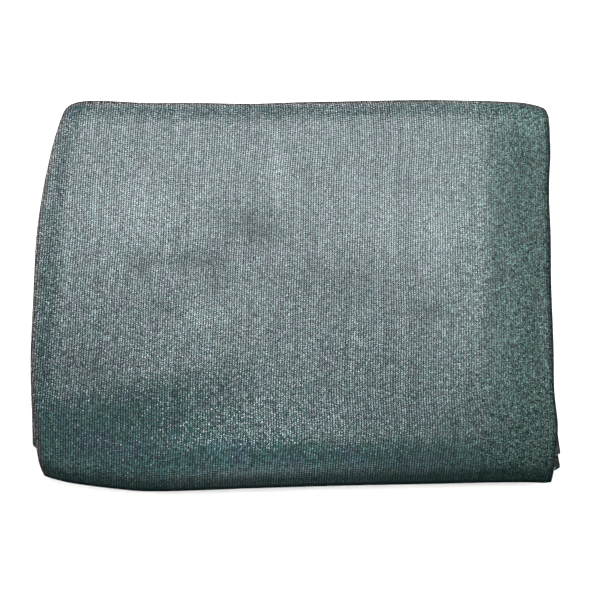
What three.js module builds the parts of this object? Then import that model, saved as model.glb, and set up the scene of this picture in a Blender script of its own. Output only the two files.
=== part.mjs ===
// A privacy screen put away: one length of knitted net, doubled along its length with the round fold
// on the left, then folded back and forth into a flat packet. The last ply runs over the top, rolls
// down over the front and comes back along the base.
// Millimetres, +Z up, origin under the middle of the packet. +X runs along the folds, +Y to the back.
import * as THREE from "three";

// Driving dimensions
const packetWidth = 500; // from the round side fold to the selvedges
const packetDepth = 385; // from the front roll to the back folds
const plyCount = 13;
const plyThickness = 2.2; // the two thicknesses of doubled net, with the air between them
const plyPitch = 3.0; // from one ply to the next
const rollDepth = 44; // how far back the top starts to roll down over the front
const foldFacets = 4; // round each tight fold
const rollFacets = 10; // round the front roll
const sideRound = 0.4; // how far the round side fold stands out, as a share of the thickness
const netColour = 0x5f716d;

const plyHeight = (ply) => plyThickness / 2 + (ply - 1) * plyPitch;
const packetHeight = plyHeight(plyCount) + plyThickness / 2;
const front = -packetDepth / 2;
const back = packetDepth / 2;

// Each turn of the net in the order of its length, with the ply that leaves it. setBack is how far the
// turn lies inside the packet, left and right how far its ends stand out past the packet's own sides.
const turns = [
  { at: "front", ply: 2, setBack: 40, left: -2, right: -3 },
  { at: "back", ply: 3, setBack: 5, left: 1.5, right: 2 },
  { at: "front", ply: 4, setBack: 20, left: 0.5, right: 1 },
  { at: "back", ply: 5, setBack: 1.5, left: 2, right: 1 },
  { at: "front", ply: 6, setBack: 11, left: -1, right: 6 },
  { at: "back", ply: 7, setBack: 4, left: -1, right: 2.5 },
  { at: "front", ply: 8, setBack: 12, left: 0, right: 1 },
  { at: "back", ply: 9, setBack: 0.5, left: 1, right: 0.5 },
  { at: "front", ply: 10, setBack: 25, left: 2.5, right: 5.5 },
  { at: "back", ply: 11, setBack: 3, left: -0.5, right: 1 },
  { at: "front", ply: 12, setBack: 40, left: -1.5, right: -2 },
  { at: "back", ply: 13, setBack: 0, left: 0, right: 0 },
  { at: "roll", ply: 1, setBack: rollDepth, left: 0, right: 0 },
  { at: "back", setBack: 6, left: -1, right: -1 },
];

// The packet's sides: how far the left and right sides stand from the middle, at a share of the depth
const sides = [
  { share: 0, left: 233, right: 243 },
  { share: 0.03, left: 237, right: 244 },
  { share: 0.08, left: 240.5, right: 244 },
  { share: 0.18, left: 245, right: 244 },
  { share: 0.32, left: 248.5, right: 244.5 },
  { share: 0.5, left: 250, right: 245.5 },
  { share: 0.64, left: 251, right: 247 },
  { share: 0.76, left: 248.5, right: 247.5 },
  { share: 0.88, left: 242.5, right: 250.5 },
  { share: 0.94, left: 238, right: 250.5 },
  { share: 0.98, left: 234.5, right: 250 },
  { share: 1, left: 231, right: 248.5 },
];

// The packet's front and back: how far each stands from the middle, at a share of the width
const ends = [
  { share: 0, front: 183, back: 183 },
  { share: 0.015, front: 185.5, back: 186 },
  { share: 0.05, front: 189.5, back: 186.5 },
  { share: 0.13, front: 194, back: 186.5 },
  { share: 0.21, front: 196.5, back: 187 },
  { share: 0.4, front: 192.5, back: 188.5 },
  { share: 0.58, front: 188.5, back: 191 },
  { share: 0.75, front: 185.5, back: 194 },
  { share: 0.88, front: 183, back: 195.5 },
  { share: 0.95, front: 182, back: 196.5 },
  { share: 0.985, front: 182, back: 194 },
  { share: 1, front: 181, back: 191 },
];

// How the pile sinks away from its full height, as shares of that height
const rightFall = { drop: 0.25, from: 178, over: 72 }; // thinner along the selvedges
const leftFall = { drop: 0.09, over: 26 }; // rounded over the side fold
const backFall = { drop: 0.08, over: 24 };
const cornerFall = { drop: 0.26, from: -52, slant: 0.26, over: 78, side: -20, fade: 190 }; // front left
const swell = { height: 0.012, across: 290, along: 240 }; // broad soft unevenness of the top
const drift = { height: 1.1, across: 330, along: 260, shiftX: 50, shiftY: 80 }; // of the inner plies

// Places along the width where the net has points, as shares of it
const columns = [0, 0.012, 0.04, 0.1, 0.2, 0.32, 0.45, 0.58, 0.7, 0.79, 0.86, 0.91, 0.955, 0.985, 1];
const rows = [-166, -140, -108, -66, 0, 80, 150, 178]; // places along Y where every ply has points
const rowClearance = 4; // the least from such a place to the end of a run
const overhangFlare = 9; // how late along a run the overhang of its front turn sets in

const smooth = (value) => {
  const t = THREE.MathUtils.clamp(value, 0, 1);
  return t * t * (3 - 2 * t);
};

// A smooth curve through one column of a table, whose rows give the column's value at each share
function curveThrough(table, column) {
  const last = table.length - 1;
  const slopes = table.map((row, i) => {
    const before = table[Math.max(i - 1, 0)];
    const after = table[Math.min(i + 1, last)];
    return (after[column] - before[column]) / (after.share - before.share);
  });
  return (share) => {
    const at = THREE.MathUtils.clamp(share, 0, 1);
    const i = THREE.MathUtils.clamp(table.findIndex((row) => row.share >= at) - 1, 0, last - 1);
    const span = table[i + 1].share - table[i].share;
    const t = (at - table[i].share) / span;
    const step = table[i + 1][column] - table[i][column];
    const leaving = slopes[i] * span - step;
    const arriving = step - slopes[i + 1] * span;
    return table[i][column] + step * t + t * (1 - t) * ((1 - t) * leaving + t * arriving);
  };
}

const leftSide = curveThrough(sides, "left");
const rightSide = curveThrough(sides, "right");
const frontEnd = curveThrough(ends, "front");
const backEnd = curveThrough(ends, "back");

// The pile's height at a place, as a share of its full height
function loft(x, y) {
  const right = 1 - rightFall.drop * smooth((x - rightFall.from) / rightFall.over);
  const left = 1 - leftFall.drop * (1 - smooth((x + packetWidth / 2) / leftFall.over));
  const rear = 1 - backFall.drop * (1 - smooth((back - y) / backFall.over));
  const past = cornerFall.from + cornerFall.slant * x - y;
  const near = smooth((cornerFall.side - x) / cornerFall.fade);
  const corner = 1 - cornerFall.drop * near * smooth(past / cornerFall.over);
  const wave = Math.sin((2 * Math.PI * x) / swell.across) * Math.cos((2 * Math.PI * y) / swell.along);
  return right * left * rear * corner * (1 + swell.height * wave);
}

// Carries a point of the even packet to its place in the packet as it really lies
function settle(x, y, z) {
  const across = x / packetWidth + 0.5;
  const along = y / packetDepth + 0.5;
  const waveX = Math.sin((2 * Math.PI * (x + drift.shiftX)) / drift.across);
  const waveY = Math.sin((2 * Math.PI * (y + drift.shiftY)) / drift.along);
  const inner = Math.sin((Math.PI * THREE.MathUtils.clamp(z, 0, packetHeight)) / packetHeight);
  const [left, right] = [-leftSide(along), rightSide(along)];
  const [near, far] = [-frontEnd(across), backEnd(across)];
  return new THREE.Vector3(
    left + across * (right - left),
    near + along * (far - near),
    (z + drift.height * waveX * waveY * inner) * loft(x, y),
  );
}

// The middle line of the net in the YZ plane: y, z, the way across the net, and its sides' overhang
const line = [];

function addPoint(y, z, angle, { left, right }) {
  line.push({ y, z, acrossY: Math.cos(angle), acrossZ: Math.sin(angle), left, right });
}

// Where the flat run at a turn ends and the turn itself begins
function runEnd(turn) {
  if (turn.at === "roll") return front + turn.setBack;
  const inset = turn.setBack + plyPitch / 2 + plyThickness / 2;
  return turn.at === "front" ? front + inset : back - inset;
}

// A flat run between two turns. Its sides keep the back turn's overhang, and drift to the front turn's
// only close to the front.
function addRun(ply, turn, next) {
  const [from, to] = [runEnd(turn), runEnd(next)];
  const [low, high] = [Math.min(from, to), Math.max(from, to)];
  const [frontTurn, backTurn] = from < to ? [turn, next] : [next, turn];
  const inside = rows.filter((y) => y > low + rowClearance && y < high - rowClearance);
  if (to < from) inside.reverse();
  for (const y of [from, ...inside, to]) {
    const nearFront = ((high - y) / (high - low)) ** overhangFlare;
    const left = THREE.MathUtils.lerp(backTurn.left, frontTurn.left, nearFront);
    const right = THREE.MathUtils.lerp(backTurn.right, frontTurn.right, nearFront);
    addPoint(y, plyHeight(ply), ((from < to ? 1 : -1) * Math.PI) / 2, { left, right });
  }
}

// A tight fold from one ply up to the next
function addFold(ply, turn) {
  const outward = turn.at === "back" ? 1 : -1;
  const middle = plyHeight(ply) + plyPitch / 2;
  for (let i = 1; i < foldFacets; i++) {
    const angle = -Math.PI / 2 + (Math.PI * i) / foldFacets;
    const [reach, rise] = [Math.cos(angle), Math.sin(angle)];
    const y = runEnd(turn) + (outward * plyPitch * reach) / 2;
    addPoint(y, middle + (plyPitch * rise) / 2, Math.atan2(-outward * rise, -reach), turn);
  }
}

// The roll over the front: half of an ellipse from the top ply down to the base ply
function addRoll(turn) {
  const middle = (plyHeight(1) + plyHeight(plyCount)) / 2;
  const rise = plyHeight(plyCount) - middle;
  const reach = rollDepth - plyThickness / 2;
  for (let i = 1; i < rollFacets; i++) {
    const angle = Math.PI / 2 + (Math.PI * i) / rollFacets;
    const y = runEnd(turn) + reach * Math.cos(angle);
    const z = middle + rise * Math.sin(angle);
    addPoint(y, z, Math.atan2(-reach * Math.sin(angle), -rise * Math.cos(angle)), turn);
  }
}

turns.slice(0, -1).forEach((turn, i) => {
  const next = turns[i + 1];
  if (turn.at === "roll") addRoll(turn);
  addRun(turn.ply, turn, next);
  if (next.at !== "roll" && next.ply) addFold(turn.ply, next);
});

// The two faces of the net, point by point across and along, and the round left edge between them
function netFace(offset) {
  return line.map((point) => {
    const y = point.y + offset * point.acrossY;
    const z = point.z + offset * point.acrossZ;
    const [low, high] = [-packetWidth / 2 - point.left, packetWidth / 2 + point.right];
    return columns.map((share) => settle(low + share * (high - low), y, z));
  });
}

function roundEdge() {
  return line.map((point) => {
    const x = -packetWidth / 2 - point.left - plyThickness * sideRound;
    return settle(x, point.y, point.z);
  });
}

function foldedNet() {
  const positions = [];
  const triangle = (a, b, c) => positions.push(...a, ...b, ...c);
  // Every ply is cut into triangles along the same diagonal, so that neighbours bend alike
  const quad = (a, b, c, d, turned) => {
    triangle(...(turned ? [a, b, d] : [a, b, c]));
    triangle(...(turned ? [b, c, d] : [a, c, d]));
  };
  const [over, under, edge] = [netFace(plyThickness / 2), netFace(-plyThickness / 2), roundEdge()];
  const lastColumn = columns.length - 1;
  for (let i = 0; i + 1 < line.length; i++) {
    const turned = line[i + 1].y < line[i].y;
    for (let j = 0; j < lastColumn; j++) {
      quad(over[i][j], over[i][j + 1], over[i + 1][j + 1], over[i + 1][j], turned);
      quad(under[i][j + 1], under[i][j], under[i + 1][j], under[i + 1][j + 1], !turned);
    }
    quad(over[i + 1][0], edge[i + 1], edge[i], over[i][0], false);
    quad(edge[i + 1], under[i + 1][0], under[i][0], edge[i], false);
    const [upper, lower] = [over[i][lastColumn], under[i][lastColumn]];
    quad(upper, lower, under[i + 1][lastColumn], over[i + 1][lastColumn], false);
  }
  for (const i of [0, line.length - 1]) {
    const rim = [edge[i], ...over[i]];
    const floor = [edge[i], ...under[i]];
    for (let j = 0; j + 1 < rim.length; j++) {
      const corners = [rim[j], floor[j], floor[j + 1], rim[j + 1]];
      if (i > 0) corners.reverse();
      if (j > 0) quad(...corners, false);
      else if (i > 0) triangle(rim[1], floor[1], rim[0]);
      else triangle(rim[0], floor[1], rim[1]);
    }
  }
  const geometry = new THREE.BufferGeometry();
  geometry.setAttribute("position", new THREE.Float32BufferAttribute(positions, 3));
  geometry.computeVertexNormals();
  return geometry;
}

const material = new THREE.MeshStandardMaterial({ color: netColour, roughness: 0.62, metalness: 0 });
const net = new THREE.Mesh(foldedNet(), material);
net.name = "net";

const screen = new THREE.Group();
screen.add(net);

export default screen;
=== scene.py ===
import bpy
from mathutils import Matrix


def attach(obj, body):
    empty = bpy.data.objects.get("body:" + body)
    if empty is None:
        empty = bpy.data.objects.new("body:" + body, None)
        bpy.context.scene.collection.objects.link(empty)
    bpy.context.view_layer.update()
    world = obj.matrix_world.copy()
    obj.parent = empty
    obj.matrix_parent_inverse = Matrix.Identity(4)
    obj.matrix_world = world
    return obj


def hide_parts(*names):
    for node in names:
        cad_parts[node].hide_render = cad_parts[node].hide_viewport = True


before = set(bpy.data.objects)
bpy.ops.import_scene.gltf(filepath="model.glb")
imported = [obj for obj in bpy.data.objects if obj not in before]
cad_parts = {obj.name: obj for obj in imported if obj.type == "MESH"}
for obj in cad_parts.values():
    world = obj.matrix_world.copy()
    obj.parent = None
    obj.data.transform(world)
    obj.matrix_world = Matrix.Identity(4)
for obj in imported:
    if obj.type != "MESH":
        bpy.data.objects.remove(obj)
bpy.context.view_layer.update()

import math

import bpy
import numpy as np
from mathutils import Vector

mm = 0.001
bpy.ops.object.select_all(action="DESELECT")


# camera and light: the packet is seen from above, a little from the front
view = {
    "target": (-1.3, -11.45, 38),  # mm
    "azimuth": 1.0,
    "elevation": 75.3,
    "distance": 1045,  # mm
    "lens": 67.1,
    "sensor": 36,
    "nearest": 0.01,  # m
}

# the softbox hangs behind the packet, where the flat top mirrors it and the slopes don't. The room
# lights only brighten the cloth, apart from the weak last one, which it also mirrors
studio = {
    "floorColour": (0.93, 0.93, 0.925, 1),
    "floorRoughness": 0.9,
    "floorSpecular": 0.1,
    "floorSize": 20,  # m
    "world": 0.15,
    "softbox": {
        "place": (0.05, 0.52, 1.05),  # m
        "size": (1.64, 0.64),
        "power": 25.1,
        "colour": (0.94, 0.975, 1),
    },
    "roomLights": [
        {"azimuth": -90, "elevation": 38, "angle": 24, "strength": 2.3, "gloss": False},
        {"azimuth": 90, "elevation": 38, "angle": 24, "strength": 2.3, "gloss": False},
        {"azimuth": 0, "elevation": 38, "angle": 24, "strength": 1.1, "gloss": False},
        {"azimuth": 0, "elevation": 38, "angle": 30, "strength": 0.5, "gloss": True},
    ],
}


def fromDirection(azimuth, elevation):
    # the way towards a camera or light, from the front at azimuth 0
    az, el = math.radians(azimuth), math.radians(elevation)
    return Vector((math.sin(az) * math.cos(el), -math.cos(az) * math.cos(el), math.sin(el)))


def makeCamera():
    back = fromDirection(view["azimuth"], view["elevation"])
    data = bpy.data.cameras.new("camera")
    data.lens = view["lens"]
    data.sensor_width = view["sensor"]
    data.clip_start = view["nearest"]
    camera = bpy.data.objects.new("camera", data)
    bpy.context.scene.collection.objects.link(camera)
    camera.location = (Vector(view["target"]) + back * view["distance"]) * mm
    camera.rotation_euler = (-back).to_track_quat("-Z", "Y").to_euler()
    bpy.context.scene.camera = camera
    print("camera placed")


def hangLight(name, kind, place):
    # a light that shines on the packet's middle
    light = bpy.data.objects.new(name, bpy.data.lights.new(name, kind))
    bpy.context.scene.collection.objects.link(light)
    light.location = place
    light.rotation_euler = (-light.location).to_track_quat("-Z", "Y").to_euler()
    return light


def makeStudio():
    bpy.ops.mesh.primitive_plane_add(size=studio["floorSize"])
    floor = bpy.context.object
    floor.name = "floor"
    paint = bpy.data.materials.new("pale floor")
    paint.use_nodes = True
    shader = paint.node_tree.nodes["Principled BSDF"]
    shader.inputs["Base Color"].default_value = studio["floorColour"]
    shader.inputs["Roughness"].default_value = studio["floorRoughness"]
    shader.inputs["Specular IOR Level"].default_value = studio["floorSpecular"]
    floor.data.materials.append(paint)
    box = studio["softbox"]
    softbox = hangLight("softbox", "AREA", box["place"])
    softbox.data.shape = "RECTANGLE"
    softbox.data.size, softbox.data.size_y = box["size"]
    softbox.data.energy = box["power"]
    softbox.data.color = box["colour"]
    for setup in studio["roomLights"]:
        roomLight = hangLight("room light", "SUN", fromDirection(setup["azimuth"], setup["elevation"]))
        roomLight.data.energy = setup["strength"]
        roomLight.data.angle = math.radians(setup["angle"])
        roomLight.visible_glossy = setup["gloss"]
    world = bpy.data.worlds.new("pale room")
    world.use_nodes = True
    world.node_tree.nodes["Background"].inputs["Color"].default_value = (1, 1, 1, 1)
    world.node_tree.nodes["Background"].inputs["Strength"].default_value = studio["world"]
    bpy.context.scene.world = world
    bpy.context.scene.view_settings.view_transform = "Standard"
    print("studio ready")


# the packet, in millimetres: the net is doubled along its length with the round fold on the left,
# then folded back and forth, and the last ply runs over the top and rolls down over the front
packet = {
    "width": 500,
    "depth": 385,
    "plies": 13,
    "plyThickness": 2.2,
    "plyPitch": 3.0,
    "rollDepth": 44,
    "overhangFlare": 9,
    "cornerRound": 4,
}

# each turn of the net in the order of its length, with the ply that leaves it
turns = [
    {"at": "front", "ply": 2, "setBack": 40, "left": -2, "right": -3},
    {"at": "back", "ply": 3, "setBack": 5, "left": 1.5, "right": 2},
    {"at": "front", "ply": 4, "setBack": 20, "left": 0.5, "right": 1},
    {"at": "back", "ply": 5, "setBack": 1.5, "left": 2, "right": 1},
    {"at": "front", "ply": 6, "setBack": 11, "left": -1, "right": 6},
    {"at": "back", "ply": 7, "setBack": 4, "left": -1, "right": 2.5},
    {"at": "front", "ply": 8, "setBack": 12, "left": 0, "right": 1},
    {"at": "back", "ply": 9, "setBack": 0.5, "left": 1, "right": 0.5},
    {"at": "front", "ply": 10, "setBack": 25, "left": 2.5, "right": 5.5},
    {"at": "back", "ply": 11, "setBack": 3, "left": -0.5, "right": 1},
    {"at": "front", "ply": 12, "setBack": 40, "left": -1.5, "right": -2},
    {"at": "back", "ply": 13, "setBack": 0, "left": 0, "right": 0},
    {"at": "roll", "ply": 1, "setBack": 44, "left": -2, "right": -3},
    {"at": "back", "ply": 0, "setBack": 6, "left": -1, "right": -1},
]

# the packet's sides: how far each stands from the middle, at a share of the depth
sides = [
    {"share": 0, "left": 233, "right": 243},
    {"share": 0.03, "left": 237, "right": 244},
    {"share": 0.08, "left": 240.5, "right": 244},
    {"share": 0.18, "left": 245, "right": 244},
    {"share": 0.32, "left": 248.5, "right": 244.5},
    {"share": 0.5, "left": 250, "right": 245.5},
    {"share": 0.64, "left": 251, "right": 247},
    {"share": 0.76, "left": 248.5, "right": 247.5},
    {"share": 0.88, "left": 242.5, "right": 250.5},
    {"share": 0.94, "left": 238, "right": 250.5},
    {"share": 0.98, "left": 234.5, "right": 250},
    {"share": 1, "left": 231, "right": 248.5},
]

# its front and back: how far each stands from the middle, at a share of the width
ends = [
    {"share": 0, "front": 183, "back": 183},
    {"share": 0.015, "front": 185.5, "back": 186},
    {"share": 0.05, "front": 189.5, "back": 186.5},
    {"share": 0.13, "front": 194, "back": 186.5},
    {"share": 0.21, "front": 196.5, "back": 187},
    {"share": 0.4, "front": 192.5, "back": 188.5},
    {"share": 0.58, "front": 188.5, "back": 191},
    {"share": 0.75, "front": 185.5, "back": 194},
    {"share": 0.88, "front": 183, "back": 195.5},
    {"share": 0.95, "front": 182, "back": 196.5},
    {"share": 0.985, "front": 182, "back": 194},
    {"share": 1, "front": 181, "back": 191},
]

# how the pile sinks away from its full height
falls = {
    "right": {"drop": 0.25, "start": 178, "over": 72},
    "left": {"drop": 0.09, "over": 26},
    "back": {"drop": 0.08, "over": 24},
    "corner": {"drop": 0.26, "start": -52, "slant": 0.26, "over": 78, "side": -20, "fade": 190},
    "swell": {"height": 0.012, "across": 290, "along": 240},
    "drift": {"height": 1.1, "across": 330, "along": 260, "shiftX": 50, "shiftY": 80},
}

# the cloth: flat size in metres, the rest in millimetres
cloth = {
    "flat": (1.0, 5.0),
    "thickness": 0.7,
    "layerGap": 1.16,  # between the middles of the two thicknesses in a ply
    "foldBulge": 0.45,  # how much rounder the side fold is than the gap
    "bulgeReach": 5,
    "fineColumn": 6,
    "coarseColumn": 24,
    "edgeColumn": 9,
    "slopeColumns": 10,
    "fineRow": 6,
    "coarseRow": 24,
    "endRows": (0, 1.2, 3, 6.5, 13),  # closer rows at the ends of a ply
    "foldSteps": 6,
    "rollSteps": 26,
    "hairpinSteps": 6,
    "hairpinFlat": 1.3,  # the flat width that each half of the side fold takes up
    "ripple": {"height": 0.22, "across": 97, "along": 171},
    "short": {"least": 1.4, "sway": 1.2, "every": 240},  # how far the hidden selvedge stops short
    "edgeWander": 0.55,
    "edgeRun": 400,  # how much cloth keeps to one wander of its edges
    "edgeShift": 5,  # keeps the right edge's wander apart from the left one's
    "foldWander": 1.1,
    "wanderFade": 70,
    "paintedRimAndStreak": 2.6,  # how far the painted rim light of a fold reaches in
    "lip": {"y": -143, "long": 26, "out": 4.6},  # where the top ply's right edge stands out
    "streak": {"x": 200.5, "y": -125, "wide": 5, "long": 42, "rub": 0.48},  # a faint brown one
    "halfShadeFrom": 0.66,  # where painted shade starts to darken the roll, in half turns: 0.5 is its top, 1 its front
    "halfShadeOver": 0.2,
    "shadeFrom": 0.86,  # and where it turns under, into deeper painted shade
    "shadeOver": 0.07,
}


def smooth(value):
    t = np.clip(value, 0, 1)
    return t * t * (3 - 2 * t)


def curveThrough(table, column):
    # a smooth curve through one column of a table
    at = np.array([row["share"] for row in table], float)
    values = np.array([row[column] for row in table], float)
    before, after = np.r_[0, np.arange(len(at) - 1)], np.r_[np.arange(1, len(at)), len(at) - 1]
    slopes = (values[after] - values[before]) / (at[after] - at[before])

    def curve(share):
        s = np.clip(share, 0, 1)
        i = np.clip(np.searchsorted(at, s) - 1, 0, len(at) - 2)
        span = at[i + 1] - at[i]
        t = (s - at[i]) / span
        step = values[i + 1] - values[i]
        leaving = slopes[i] * span - step
        arriving = step - slopes[i + 1] * span
        return values[i] + step * t + t * (1 - t) * ((1 - t) * leaving + t * arriving)

    return curve


leftSide, rightSide = curveThrough(sides, "left"), curveThrough(sides, "right")
frontEnd, backEnd = curveThrough(ends, "front"), curveThrough(ends, "back")
packetFront, packetBack = -packet["depth"] / 2, packet["depth"] / 2
topTurn = [turn["ply"] for turn in turns].index(packet["plies"])


def plyHeight(ply):
    return packet["plyThickness"] / 2 + (ply - 1) * packet["plyPitch"]


packetHeight = plyHeight(packet["plies"]) + packet["plyThickness"] / 2


def loft(x, y):
    # the share of the full height that the pile keeps at a place
    side = falls["right"]
    right = 1 - side["drop"] * smooth((x - side["start"]) / side["over"])
    side = falls["left"]
    left = 1 - side["drop"] * (1 - smooth((x + packet["width"] / 2) / side["over"]))
    side = falls["back"]
    rear = 1 - side["drop"] * (1 - smooth((packetBack - y) / side["over"]))
    side = falls["corner"]
    past = smooth((side["start"] + side["slant"] * x - y) / side["over"])
    corner = 1 - side["drop"] * smooth((side["side"] - x) / side["fade"]) * past
    swell = falls["swell"]
    wave = np.sin(2 * np.pi * x / swell["across"]) * np.cos(2 * np.pi * y / swell["along"])
    return right * left * rear * corner * (1 + swell["height"] * wave)


def settle(x, y, z):
    # carries points of the even packet to where they really lie
    across, along = x / packet["width"] + 0.5, y / packet["depth"] + 0.5
    drift = falls["drift"]
    wave = np.sin(2 * np.pi * (x + drift["shiftX"]) / drift["across"])
    wave = wave * np.sin(2 * np.pi * (y + drift["shiftY"]) / drift["along"])
    inner = np.sin(np.pi * np.clip(z, 0, packetHeight) / packetHeight)
    left, right = -leftSide(along), rightSide(along)
    near, far = -frontEnd(across), backEnd(across)
    placeX = left + across * (right - left)
    placeY = near + along * (far - near)
    placeZ = (z + drift["height"] * wave * inner) * loft(x, y)
    return placeX, placeY, placeZ


# soft creases of the top, from one place to another: ridges stand up, troughs sink in
creases = [
    {"x1": -45, "y1": -74, "x2": -140, "y2": -98, "wide": 18, "rise": 0.55},
    {"x1": -130, "y1": -96, "x2": -222, "y2": -124, "wide": 18, "rise": 0.35},
    {"x1": 180, "y1": 165, "x2": 183, "y2": 10, "wide": 10, "rise": 0.5},
    {"x1": 183, "y1": 10, "x2": 150, "y2": -120, "wide": 12, "rise": 0.5},
    {"x1": 212, "y1": 150, "x2": 214, "y2": -60, "wide": 9, "rise": 0.5},
    {"x1": -73, "y1": 180, "x2": -72, "y2": 0, "wide": 7, "rise": -0.45},
    {"x1": 24, "y1": 170, "x2": 26, "y2": 40, "wide": 8, "rise": -0.3},
]

# soft marks on the top: dents, and places that are duller or shinier than the rest; there the colour is
# also painted darker as shade or lighter as sheen
marks = [
    {"x": 235, "y": -200, "wide": 115, "long": 75, "dent": 5, "dullAndPaintedSheen": 0.7},
    {"x": 262, "y": 0, "wide": 30, "long": 500, "dent": 2.8, "dullAndPaintedSheen": 0.6},
    {"x": -50, "y": 58, "wide": 25, "long": 18, "dent": 0.5, "dullAndPaintedSheen": 0.4},
    {"x": -27, "y": 50, "wide": 20, "long": 13, "dent": 0.2, "dullAndPaintedSheen": 0.25},
    {"x": -149, "y": 18, "wide": 12, "long": 13, "dent": 0.4, "dullAndPaintedSheen": 0.4},
    {"x": -104, "y": 20, "wide": 12, "long": 10, "dent": 0.4, "dullAndPaintedSheen": 0.4},
    {"x": -80, "y": 21, "wide": 12, "long": 11, "dent": 0.4, "dullAndPaintedSheen": 0.4},
    {"x": -78, "y": -1, "wide": 9, "long": 12, "dent": 0.3, "dullAndPaintedSheen": 0.35},
    {"x": -121, "y": -27, "wide": 14, "long": 9, "dent": 0.3, "dullAndPaintedSheen": 0.3},
    {"x": 128, "y": -29, "wide": 13, "long": 8, "dent": 0.4, "dullAndPaintedSheen": 0.35},
    {"x": -22, "y": 124, "wide": 5, "long": 34, "dent": 0, "dullAndPaintedSheen": -0.5},
    {"x": 110, "y": 66, "wide": 55, "long": 30, "dent": 0, "dullAndPaintedSheen": -0.15},
    {"x": -165, "y": 66, "wide": 48, "long": 32, "dent": 0, "dullAndPaintedSheen": -0.32},
    {"x": 40, "y": 0, "wide": 60, "long": 22, "dent": 0, "dullAndPaintedSheen": 0.2},
    {"x": -45, "y": -156, "wide": 92, "long": 34, "dent": 0, "dullAndPaintedSheen": -0.6},
    {"x": -200, "y": -88, "wide": 50, "long": 22, "dent": 0, "dullAndPaintedSheen": 0.3},
    {"x": 220, "y": 176, "wide": 34, "long": 20, "dent": 0, "dullAndPaintedSheen": -0.5},
    {"x": -88, "y": -33, "wide": 18, "long": 10, "dent": 0, "dullAndPaintedSheen": -0.45},
]


def markField(x, y, key):
    total = np.zeros_like(x)
    for mark in marks:
        away = ((x - mark["x"]) / mark["wide"]) ** 2 + ((y - mark["y"]) / mark["long"]) ** 2
        total += mark[key] * np.exp(-away)
    return total


def creaseField(x, y):
    total = np.zeros_like(x)
    for line in creases:
        dx, dy = line["x2"] - line["x1"], line["y2"] - line["y1"]
        length = math.hypot(dx, dy)
        along = ((x - line["x1"]) * dx + (y - line["y1"]) * dy) / length
        off = ((x - line["x1"]) * dy - (y - line["y1"]) * dx) / length
        inside = smooth((along + line["wide"]) / (2 * line["wide"]))
        inside = inside * smooth((length + line["wide"] - along) / (2 * line["wide"]))
        total += line["rise"] * inside * np.exp(-((off / line["wide"]) ** 2))
    return total


def runEnd(turn):
    if turn["at"] == "roll":
        return packetFront + turn["setBack"]
    inset = turn["setBack"] + packet["plyPitch"] / 2 + packet["plyThickness"] / 2
    return packetFront + inset if turn["at"] == "front" else packetBack - inset


def drawnIn(away):
    # how far the cloth's corner is rounded off, at a distance from the fold's outer end
    radius = packet["cornerRound"]
    reach = max(radius - away, 0)
    return radius - math.sqrt(radius**2 - reach**2)


def foldedLine():
    # the middle line of the doubled net, a row for each step along the cloth
    line = []

    def add(y, z, angle, left, right, **more):
        row = {"y": y, "z": z, "left": left, "right": right, "top": 0, "under": 0}
        row.update(acrossY=math.cos(angle), acrossZ=math.sin(angle))
        row.update(turnBefore=0, turnAfter=0, nearBefore=0, nearAfter=0)
        row.update(more)
        line.append(row)

    def addRoll(turn):
        middle = (plyHeight(1) + plyHeight(packet["plies"])) / 2
        rise = plyHeight(packet["plies"]) - middle
        reach = packet["rollDepth"] - packet["plyThickness"] / 2
        for k in range(1, cloth["rollSteps"]):
            angle = math.pi * (0.5 + k / cloth["rollSteps"])
            across = math.atan2(-reach * math.sin(angle), -rise * math.cos(angle))
            y = runEnd(turn) + reach * math.cos(angle)
            halfTurns = angle / math.pi
            # painted shade on the roll: the first step darkens it as it turns down, the second as it turns
            # under
            under = float(smooth((halfTurns - cloth["halfShadeFrom"]) / cloth["halfShadeOver"]))
            under += float(smooth((halfTurns - cloth["shadeFrom"]) / cloth["shadeOver"]))
            add(y, middle + rise * math.sin(angle), across, turn["left"], turn["right"], top=1, under=under)

    def addRun(index):
        turn, following = turns[index], turns[index + 1]
        start, stop = runEnd(turn), runEnd(following)
        length = abs(stop - start)
        onTop = turn["ply"] == packet["plies"]
        endRows = np.array(cloth["endRows"])
        steps = math.ceil((length - 2 * endRows[-1]) / cloth["fineRow" if onTop else "coarseRow"])
        middle = np.linspace(endRows[-1], length - endRows[-1], steps + 1)
        for away in np.r_[endRows[:-1], middle, length - endRows[-2::-1]]:
            share = away / length
            before, after = (1 - share) ** packet["overhangFlare"], share ** packet["overhangFlare"]
            left = turn["left"] * before + following["left"] * after
            right = turn["right"] * before + following["right"] * after
            rounded = 0
            for end, distance in ((turn, away), (following, length - away)):
                if end["at"] != "roll":
                    rounded += drawnIn(distance + packet["plyPitch"] / 2)
            add(
                start + (stop - start) * share,
                plyHeight(turn["ply"]),
                math.copysign(math.pi / 2, stop - start),
                left - rounded,
                right - rounded,
                top=float(onTop),
                turnBefore=index,
                turnAfter=index + 1,
                nearBefore=math.exp(-away / cloth["wanderFade"]),
                nearAfter=math.exp(-(length - away) / cloth["wanderFade"]),
            )

    def addFold(index):
        turn, ply = turns[index + 1], turns[index]["ply"]
        outward = 1 if turn["at"] == "back" else -1
        radius = packet["plyPitch"] / 2
        for k in range(1, cloth["foldSteps"]):
            angle = math.pi * (k / cloth["foldSteps"] - 0.5)
            across = math.atan2(-outward * math.sin(angle), -math.cos(angle))
            rounded = drawnIn(radius * (1 - math.cos(angle)))
            add(
                runEnd(turn) + outward * radius * math.cos(angle),
                plyHeight(ply) + radius * (1 + math.sin(angle)),
                across,
                turn["left"] - rounded,
                turn["right"] - rounded,
                turnBefore=index + 1,
                nearBefore=1,
            )

    for index, turn in enumerate(turns[:-1]):
        if turn["at"] == "roll":
            addRoll(turn)
        addRun(index)
        if turns[index + 1]["at"] != "roll" and turns[index + 1]["ply"]:
            addFold(index)
    return {key: np.array([row[key] for row in line], float)[:, None] for key in line[0]}


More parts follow.
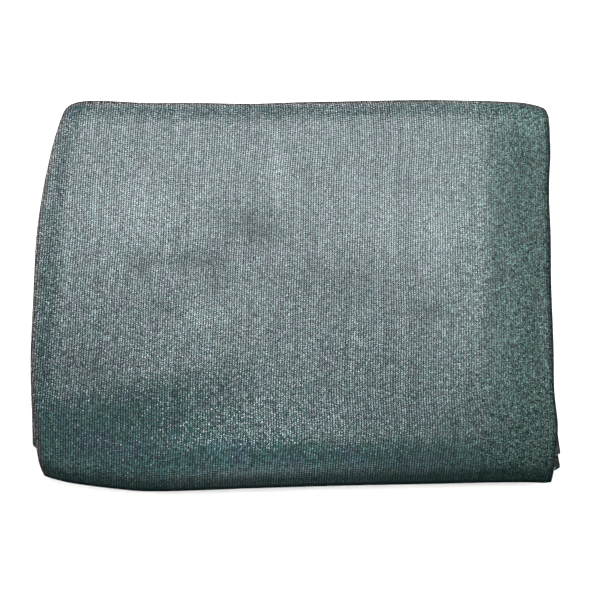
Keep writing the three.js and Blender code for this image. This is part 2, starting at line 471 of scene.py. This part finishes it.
def clothColumns():
    # across the flat net: the share of the width away from the side fold, and the face of the ply,
    # which is 1 on the thickness that shows on top, -1 on the hidden one, and turns at the fold
    width = packet["width"]
    fine = np.linspace(0, 1, round(width / cloth["fineColumn"]) + 1)[1:]
    flatPart = np.arange(cloth["coarseColumn"], falls["right"]["start"] + width / 2, cloth["coarseColumn"])
    slope = np.linspace(flatPart[-1] + cloth["edgeColumn"], width, cloth["slopeColumns"])
    coarse = np.r_[flatPart, slope] / width
    turn = np.linspace(-1, 1, cloth["hairpinSteps"] + 1) * np.pi / 2
    share = np.r_[coarse[::-1], np.zeros(len(turn)), fine]
    face = np.r_[-np.ones(len(coarse)), np.sin(turn), np.ones(len(fine))]
    bulge = np.r_[np.zeros(len(coarse)), np.cos(turn), np.zeros(len(fine))]
    return share, face, bulge


# a slow wave and a quicker one, which start elsewhere at each fold
waves = [
    {"every": 47, "shift": 2.3, "part": 0.65},
    {"every": 17.5, "shift": 4.1, "part": 0.35},
]


def wander(place, turn):
    # a fold's own slow unevenness along its length
    return sum(np.sin(place / wave["every"] + turn * wave["shift"]) * wave["part"] for wave in waves)


def makeNet():
    line = foldedLine()
    share, face, bulge = clothColumns()
    run = np.r_[0, np.cumsum(np.hypot(np.diff(line["y"][:, 0]), np.diff(line["z"][:, 0])))][:, None]
    width = packet["width"]
    edge = cloth["edgeWander"]
    stretch = run // cloth["edgeRun"]
    low = -width / 2 - line["left"] + edge * wander(line["y"], stretch)
    high = width / 2 + line["right"] + edge * wander(line["y"], cloth["edgeShift"] + stretch)
    lip = cloth["lip"]
    high = high + line["top"] * lip["out"] * np.exp(-(((line["y"] - lip["y"]) / lip["long"]) ** 2))
    # the hidden selvedge stops a little short of the other, now more, now less
    stops = cloth["short"]
    short = np.where(face < 0, stops["least"] + stops["sway"] * np.sin(run / stops["every"]), 0)
    x = low + share * (high - short - low)
    half = cloth["layerGap"] / 2
    rounder = 1 + cloth["foldBulge"] * np.exp(-(x - low) / cloth["bulgeReach"])
    x = x - bulge * half * rounder
    swell = cloth["ripple"]
    ripple = swell["height"] * np.sin(2 * np.pi * (x / swell["across"] + run / swell["along"]))
    ripple = ripple * (1 - line["top"])
    lean = -face * half * rounder + ripple * np.clip(line["z"] / packet["plyPitch"] - 1, 0, 1)
    uneven = line["nearBefore"] * wander(x, line["turnBefore"])
    uneven = uneven + line["nearAfter"] * wander(x, line["turnAfter"])
    y = line["y"] + line["acrossY"] * lean + cloth["foldWander"] * uneven * (1 - line["top"])
    z = line["z"] + line["acrossZ"] * lean
    px, py, pz = settle(x, y, z)
    relief = creaseField(px, py) - markField(px, py, "dent")
    pz = pz + relief * np.clip(z / packetHeight, 0, 1) ** 2 * loft(x, y)
    dullAndPaintedSheen = markField(px, py, "dullAndPaintedSheen") * line["top"] * (face > 0)
    # painted rim light on the folds along the left side and the top's back fold, with a faint brown streak;
    # painted shade where the roll turns down
    sideRimPaint = np.exp(-(x - low) / cloth["paintedRimAndStreak"])
    backRimPaint = line["nearBefore"] ** (cloth["wanderFade"] / cloth["paintedRimAndStreak"])
    backRimPaint = backRimPaint * (line["turnBefore"] == topTurn)
    streak = cloth["streak"]
    away = ((px - streak["x"]) / streak["wide"]) ** 2 + ((py - streak["y"]) / streak["long"]) ** 2
    paintedRimAndStreak = np.maximum(np.maximum(sideRimPaint, backRimPaint), np.exp(-away) * streak["rub"])
    paintedRollShade = line["under"] * np.ones_like(px)
    rows, columns = px.shape
    places = np.stack([px, py, pz], -1).reshape(-1, 3) * mm
    index = np.arange(rows * columns).reshape(rows, columns)
    corners = [index[:-1, :-1], index[:-1, 1:], index[1:, 1:], index[1:, :-1]]
    mesh = bpy.data.meshes.new("foldedNet")
    mesh.from_pydata(places.tolist(), [], np.stack(corners, -1).reshape(-1, 4).tolist())
    # the flat place of each point in metres, so that the knit follows the cloth round every fold
    hairpin = np.arcsin(face) / (np.pi / 2) * cloth["hairpinFlat"]
    # the side fold strays from the ribs, which run straight on where the side is drawn in
    astray = (px[:, [np.argmin(np.abs(face))]] + width / 2) * (1 - share)
    across = hairpin + np.sign(face) * share * width + astray
    flat = np.stack(np.broadcast_arrays(across, run), -1).reshape(-1, 2) * mm
    loops = np.empty(len(mesh.loops), int)
    mesh.loops.foreach_get("vertex_index", loops)
    mesh.uv_layers.new(name="knit").data.foreach_set("uv", flat[loops].ravel())
    for name, values in (("dullAndPaintedSheen", dullAndPaintedSheen), ("paintedRimAndStreak", paintedRimAndStreak), ("paintedRollShade", paintedRollShade)):
        mesh.attributes.new(name, "FLOAT", "POINT").data.foreach_set("value", values.ravel())
    net = bpy.data.objects.new("foldedNet", mesh)
    bpy.context.scene.collection.objects.link(net)
    bpy.context.view_layer.objects.active = net
    net.select_set(True)
    bpy.ops.object.mode_set(mode="EDIT")
    bpy.ops.mesh.select_all(action="SELECT")
    bpy.ops.mesh.normals_make_consistent(inside=False)
    bpy.ops.object.mode_set(mode="OBJECT")
    thicken = net.modifiers.new("thickness", "SOLIDIFY")
    thicken.thickness = cloth["thickness"] * mm
    thicken.offset = 0
    bpy.ops.object.modifier_apply(modifier=thicken.name)
    bpy.ops.object.shade_smooth()
    net.select_set(False)
    length = round(float(run[-1, 0]) * mm, 2)
    print("net folded:", len(net.data.polygons), "faces, length", length, "m")
    return net


# the knit, in metres where it is a length. A pair is the two ends of a change
knit = {
    "rib": 0.00239,
    "stitch": 0.0021,
    "dot": (0.00098, 0.0008),  # the twists in the tape, which lie at all slants
    "ribWander": 0.0048,
    "wanderScale": 9.0,  # this and the other scales are per metre
    "stitchSeed": 3.7,  # shifts the stitches of each rib against its neighbours'
    # shapes: places are shares of a rib or stitch away from its middle, heights are 1 at a loop's crest
    "loopSide": (0.38, 0.14),
    "loopEnd": (0.5, 0.12),
    "loopNeck": 0.18,
    "crossSlant": 0.6,
    "crossEdge": (0.15, 0.4),
    "crossHeight": 0.38,
    # the edge strip, away from the side fold: there the ribs fade out towards the selvedge
    "edgeStrip": (0.36, 0.485),
    "stripRibs": (1.0, 0.62),
    "stripFill": 0.27,
    "selvedge": (0.4986, 0.4995),
    # colours of the tape, and where each takes over
    "tape": (0.027, 0.067, 0.07),
    "greenTape": (0.027, 0.069, 0.063),
    "greenScale": 50.0,
    "greenFrom": (0.38, 0.62),
    "blueTape": (0.032, 0.062, 0.074),
    "blueScale": 38.0,
    "blueShift": (3.1, 7.7, 0),
    "blueFrom": (0.45, 0.65),
    "stripTape": (0.016, 0.084, 0.067),
    "shiny": (-0.5, 0.0),  # from a shiny mark to none
    "stripTint": (0.1, 0.7),
    "paintedGlintTape": (0.085, 0.135, 0.122),  # painted glints: the lit twists of the strip
    "paintedGlintFrom": (0.45, 1.0),
    "paintedGlintTint": (1.0, 0.65),
    "rimAndStreakTape": (0.052, 0.046, 0.044),
    "rimAndStreakFrom": (0.25, 0.6),
    "selvedgePaintedShade": (0.02, 0.022, 0.021),
    "gap": (0.0015, 0.005, 0.005),
    "stitchShade": (0.5, 1.5),
    "paintedSheenShade": (1.3, 0.7),
    "stripDots": (0.35, 1.0),
    "stripDotShade": (0.75, 1.35),
    # gloss
    "roughness": 0.3,
    "dullRoughness": 0.2,
    "unevenRoughness": 0.1,
    "stripRoughness": 0.05,
    "specular": 1.0,
    "ior": 1.7,
    "lean": 0.2511,
    "strayLean": 0.5,  # for the few twists that lie most askew
    "strayFrom": (0.55, 1.0),
    "stripLean": 0.42,
    "bump": 0.25,
    "bumpDepth": 0.0004,
    # how much of the tape shows, and not the gap
    "tapeFrom": (0.05, 0.65),
    "dotCover": (0.48, 0.04),
    "streaks": (170, 7, 0),  # per metre, across and along the ribs
    "streakFrom": (0.3, 0.7),
    "streakCover": (0.89, 1.1),
    "paintedRollShadeCover": (1.0, 0.25),
    "shadedCover": (1.0, 0.05),
    "paintedSheenCover": (1.35, 0.65),
}


def knitMaterial():
    material = bpy.data.materials.new("knitted tape")
    material.use_nodes = True
    tree = material.node_tree
    tape = tree.nodes["Principled BSDF"]
    whole = (0.0, 1.0)
    dullness = (-1.0, 1.0)

    def feed(socket, value):
        if isinstance(value, bpy.types.NodeSocket):
            tree.links.new(value, socket)
        elif value is not None:
            socket.default_value = value

    def add(kind, *inputs, **settings):
        made = tree.nodes.new(kind)
        for name, value in settings.items():
            setattr(made, name, value)
        for slot, value in enumerate(inputs):
            feed(made.inputs[slot], value)
        return made

    def calc(operation, *inputs):
        return add("ShaderNodeMath", *inputs, operation=operation).outputs[0]

    def vector(operation, *inputs):
        return add("ShaderNodeVectorMath", *inputs, operation=operation).outputs[0]

    def scaled(value, factor):
        made = add("ShaderNodeVectorMath", value, operation="SCALE")
        feed(made.inputs["Scale"], factor)
        return made.outputs[0]

    def ramp(value, span, ends=whole):
        # goes smoothly from the first end to the last while the value crosses the span
        kind = "ShaderNodeMapRange"
        return add(kind, value, *span, *ends, interpolation_type="SMOOTHSTEP").outputs[0]

    def pair(x, y):
        return add("ShaderNodeCombineXYZ", x, y, 0.0).outputs[0]

    def chance(x, y):
        return add("ShaderNodeTexWhiteNoise", pair(x, y), noise_dimensions="2D").outputs

    def noise(place, scale, detail):
        return add("ShaderNodeTexNoise", place, None, scale, detail).outputs[0]

    def attribute(name):
        return add("ShaderNodeAttribute", attribute_name=name).outputs["Fac"]

    def blend(share, first, second):
        made = add("ShaderNodeMix", data_type="RGBA")
        feed(made.inputs[0], share)
        feed(made.inputs[6], first if isinstance(first, bpy.types.NodeSocket) else (*first, 1))
        feed(made.inputs[7], (*second, 1))
        return made.outputs[2]

    def fromMiddle(value):
        return calc("ABSOLUTE", calc("SUBTRACT", calc("FRACT", value), 0.5))  # 0 in the middle, 0.5 between

    uv = add("ShaderNodeUVMap", uv_map="knit").outputs[0]
    parts = add("ShaderNodeSeparateXYZ", uv).outputs
    fromFold, alongNet = calc("ABSOLUTE", parts[0]), parts[1]
    sway = calc("SUBTRACT", noise(uv, knit["wanderScale"], 1.0), 0.5)
    ribs = calc("DIVIDE", calc("ADD", parts[0], calc("MULTIPLY", sway, knit["ribWander"])), knit["rib"])
    ribNumber = calc("FLOOR", ribs)
    ribPlace = fromMiddle(ribs)
    stitchShift = chance(ribNumber, knit["stitchSeed"])[0]
    stitches = calc("ADD", calc("DIVIDE", alongNet, knit["stitch"]), stitchShift)
    stitchRandom = chance(ribNumber, calc("FLOOR", stitches))[0]
    dotNumber = [calc("FLOOR", calc("DIVIDE", parts[axis], knit["dot"][axis])) for axis in (0, 1)]
    dotRandom, dotLean = chance(*dotNumber)
    dullAndPaintedSheen, paintedRimAndStreak, paintedRollShade = [attribute(name) for name in ("dullAndPaintedSheen", "paintedRimAndStreak", "paintedRollShade")]
    # the chain of loops along each rib, and the flat tapes that cross between the ribs
    strip = ramp(fromFold, knit["edgeStrip"])
    loopEnds = ramp(fromMiddle(stitches), knit["loopEnd"], (knit["loopNeck"], 1.0))
    loops = calc("MULTIPLY", ramp(ribPlace, knit["loopSide"]), loopEnds)
    slanted = calc("ADD", stitches, calc("MULTIPLY", ribPlace, knit["crossSlant"]))
    crossing = calc("MULTIPLY", ramp(fromMiddle(slanted), knit["crossEdge"]), knit["crossHeight"])
    height = calc("MULTIPLY", calc("MAXIMUM", loops, crossing), ramp(strip, whole, knit["stripRibs"]))
    height = calc("ADD", height, calc("MULTIPLY", strip, knit["stripFill"]))
    # colour: drifts between green and blue grey and changes in the strip, with painted glints in the strip,
    # painted rim light along the folds and painted shade at the selvedge
    greens = noise(uv, knit["greenScale"], 2.0)
    colour = blend(ramp(greens, knit["greenFrom"]), knit["greenTape"], knit["tape"])
    blues = noise(vector("ADD", uv, knit["blueShift"]), knit["blueScale"], 2.0)
    colour = blend(ramp(blues, knit["blueFrom"]), colour, knit["blueTape"])
    stripTint = calc("MULTIPLY", strip, ramp(dullAndPaintedSheen, knit["shiny"], knit["stripTint"]))
    colour = blend(stripTint, colour, knit["stripTape"])
    # painted glints: random twists of the strip are coloured lighter, more on shinier marks
    paintedGlints = calc("MULTIPLY", ramp(dotRandom, knit["paintedGlintFrom"]), ramp(dullAndPaintedSheen, knit["shiny"], knit["paintedGlintTint"]))
    colour = blend(calc("MULTIPLY", strip, paintedGlints), colour, knit["paintedGlintTape"])
    # painted rim light along the left side fold and the top's back fold, and the faint brown streak
    colour = blend(ramp(paintedRimAndStreak, knit["rimAndStreakFrom"]), colour, knit["rimAndStreakTape"])
    # painted shade along the selvedge's last millimetre, which also darkens the lower plies' edges
    colour = blend(ramp(fromFold, knit["selvedge"]), colour, knit["selvedgePaintedShade"])
    # shade: uneven from stitch to stitch, and in the strip from twist to twist
    shade = ramp(stitchRandom, whole, knit["stitchShade"])
    # painted sheen and shade: shinier marks lighten the colour, duller ones darken it
    shade = calc("MULTIPLY", shade, ramp(dullAndPaintedSheen, dullness, knit["paintedSheenShade"]))
    dotShade = ramp(dotRandom, knit["stripDots"], knit["stripDotShade"])
    shade = calc("MULTIPLY", shade, ramp(strip, whole, (1.0, dotShade)))
    feed(tape.inputs["Base Color"], scaled(colour, shade))
    # sheen: each twist lies at its own slant, so some catch the light and others don't
    rough = calc("ADD", calc("MULTIPLY", dullAndPaintedSheen, knit["dullRoughness"]), knit["roughness"])
    rough = calc("ADD", rough, calc("MULTIPLY", strip, knit["stripRoughness"]))
    uneven = calc("MULTIPLY", calc("SUBTRACT", 0.5, stitchRandom), knit["unevenRoughness"])
    feed(tape.inputs["Roughness"], calc("ADD", rough, uneven))
    tape.inputs["Specular IOR Level"].default_value = knit["specular"]
    tape.inputs["IOR"].default_value = knit["ior"]
    stray = ramp(dotRandom, knit["strayFrom"], (knit["lean"], knit["strayLean"]))
    slant = ramp(strip, whole, (stray, knit["stripLean"]))
    lean = scaled(vector("SUBTRACT", dotLean, (0.5, 0.5, 0.5)), slant)
    upright = add("ShaderNodeNewGeometry").outputs["Normal"]
    bump = add("ShaderNodeBump")
    bump.inputs["Strength"].default_value = knit["bump"]
    bump.inputs["Distance"].default_value = knit["bumpDepth"]
    feed(bump.inputs["Height"], height)
    feed(bump.inputs["Normal"], vector("NORMALIZE", vector("ADD", upright, lean)))
    feed(tape.inputs["Normal"], bump.outputs[0])
    # the gaps between the tapes show only the shade inside the cloth
    gap = add("ShaderNodeBsdfDiffuse", (*knit["gap"], 1))
    leastCover = ramp(strip, whole, knit["dotCover"])
    cover = calc("MULTIPLY", ramp(height, knit["tapeFrom"]), ramp(dotRandom, whole, (leastCover, 1.0)))
    # neighbouring ribs are knitted a little tighter or looser, which shows as faint streaks
    streaks = noise(vector("MULTIPLY", uv, knit["streaks"]), 1.0, 1.0)
    cover = calc("MULTIPLY", cover, ramp(streaks, knit["streakFrom"], knit["streakCover"]))
    # painted shade of the roll: 1 where it turns down, going on to 2 where it turns under; it lets more of
    # the dark gap show
    cover = calc("MULTIPLY", cover, ramp(paintedRollShade, whole, knit["paintedRollShadeCover"]))
    cover = calc("MULTIPLY", cover, ramp(paintedRollShade, (1.0, 2.0), knit["shadedCover"]))
    # painted sheen and shade: shinier marks show more tape, duller ones more of the dark gap
    cover = calc("MULTIPLY", cover, ramp(dullAndPaintedSheen, dullness, knit["paintedSheenCover"]))
    surface = add("ShaderNodeMixShader", cover, gap.outputs[0], tape.outputs[0])
    feed(tree.nodes["Material Output"].inputs["Surface"], surface.outputs[0])
    print("knit material ready")
    return material


makeCamera()
makeStudio()
net = makeNet()
net.data.materials.append(knitMaterial())
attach(net, "root")
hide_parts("net")
